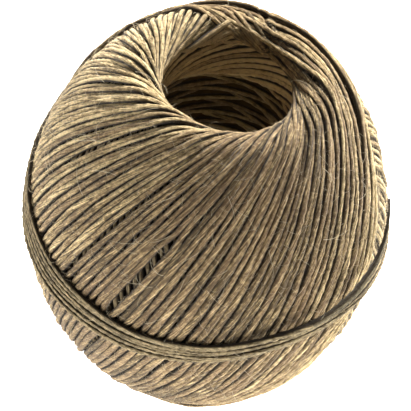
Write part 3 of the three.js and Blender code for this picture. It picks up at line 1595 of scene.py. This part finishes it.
@dataclass
class Studio:
    """The camera at the photograph's angle, a plain pale floor and soft light."""

    form: WoundForm
    elevation: float = 48.0
    roll: float = 10.2
    distance: float = 360.0 * MM
    lens: float = 124.5
    aim_up: float = 1.45 * MM
    aim_right: float = -0.05 * MM
    floor_size: float = 3.0
    surroundings: float = 0.09

    floor_finish: ClassVar[PlainFinish] = PlainFinish(
        "pale_floor", (0.86, 0.87, 0.88), (0.90, 0.90, 0.90), 3.0, roughness=0.9, glow=2.5
    )
    lamps: ClassVar[tuple[Lamp, ...]] = (
        Lamp("key", (-0.95, -0.25, 0.05), 0.4, 3.4),
        Lamp("front", (0.10, -0.90, 0.30), 0.35, 0.1),
        Lamp("side", (0.9, 0.25, 0.22), 0.5, 2.0),
        Lamp("back", (0.20, 0.64, 0.68), 0.45, 28.0),
    )

    def camera(self) -> None:
        """Set the camera."""
        tilt = math.radians(90.0 - self.elevation)
        back = Vector((0.0, -math.sin(tilt), math.cos(tilt)))
        right = Vector((1.0, 0.0, 0.0))
        up = back.cross(right)
        lean = math.radians(self.roll)
        across = math.cos(lean) * right + math.sin(lean) * up
        over = math.cos(lean) * up - math.sin(lean) * right
        data = bpy.data.cameras.new("camera")
        data.lens = self.lens
        data.sensor_width = 36.0
        data.clip_start = 0.01
        place = Vector((0.0, 0.0, self.form.middle)) + back * self.distance
        place += over * self.aim_up + across * self.aim_right
        eye = added("camera", data)
        eye.matrix_world = Matrix.Translation(place) @ Matrix((across, over, back)).transposed().to_4x4()
        bpy.context.scene.camera = eye

    def floor(self) -> None:
        """Lay the floor."""
        size = self.floor_size
        corners = [(-size, -size, 0.0), (size, -size, 0.0), (size, size, 0.0), (-size, size, 0.0)]
        mesh = bpy.data.meshes.new("floor")
        mesh.from_pydata(corners, [], [(0, 1, 2, 3)])
        mesh.materials.append(self.floor_finish.material())
        floor = added("floor", mesh)

    def light(self) -> None:
        """Set the lights and the surroundings."""
        for lamp in self.lamps:
            data = bpy.data.lights.new(lamp.name, "AREA")
            data.shape = "DISK"
            data.size = lamp.size
            data.energy = lamp.power
            item = added(lamp.name, data)
            item.location = lamp.place
            aim = Vector((0.0, 0.0, self.form.middle)) - Vector(lamp.place)
            item.rotation_euler = aim.to_track_quat("-Z", "Y").to_euler()
        world = bpy.data.worlds.new("studio")
        world.use_nodes = True
        background = world.node_tree.nodes["Background"]
        background.inputs["Color"].default_value = (1.0, 1.0, 1.0, 1.0)
        background.inputs["Strength"].default_value = self.surroundings
        bpy.context.scene.world = world
        bpy.context.scene.view_settings.view_transform = "Standard"

    def build(self) -> None:
        """Set up all of it."""
        self.camera()
        self.floor()
        self.light()


FINISHES = (
    TwineFinish("olive_twine", (0.46, 0.385, 0.22), (0.25, 0.205, 0.105), (0.08, 0.064, 0.03)),
    TwineFinish("wrap_twine", (0.80, 0.62, 0.33), (0.36, 0.265, 0.125), (0.09, 0.063, 0.027)),
    TwineFinish("twine", (0.98, 0.75, 0.395), (0.45, 0.315, 0.138), (0.11, 0.071, 0.028)),
    # Painted light and shade in the hole's wall: the next finish is a paler, lit copy of the twine for near
    # the rims, and the one after it a darker, shaded copy for further in
    TwineFinish("rim_twine", (0.98, 0.76, 0.42), (0.80, 0.60, 0.31), (0.33, 0.235, 0.11)),
    TwineFinish("deep_twine", (0.46, 0.35, 0.17), (0.27, 0.195, 0.088), (0.08, 0.055, 0.022)),
    PlainFinish("inner_shade", (0.05, 0.033, 0.013), (0.09, 0.06, 0.025), 400.0),
    PlainFinish("fibre", (0.50, 0.41, 0.26), (0.74, 0.64, 0.46), 90.0),
)


def main() -> None:
    """Build the ball of twine in order and report each piece."""
    logging.basicConfig(level=logging.INFO, format="%(name)s: %(message)s")
    form = WoundForm()
    Studio(form).build()
    olive, wrap, twine, rim, deep, shade, fibre = (finish.material() for finish in FINISHES)
    sweeper = TwineSweep()
    LooseEnd().build(sweeper, olive)
    rng = np.random.default_rng(SEED)
    WaistWraps(form, rng).build(sweeper, wrap)
    Winding(form, rng).build(sweeper, twine)
    BoreWall(form, rng).build(sweeper, rim, deep)
    InnerBody(form).build(shade)
    LooseFibres(form).build(fibre)
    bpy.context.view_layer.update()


if __name__ == "__main__":
    main()
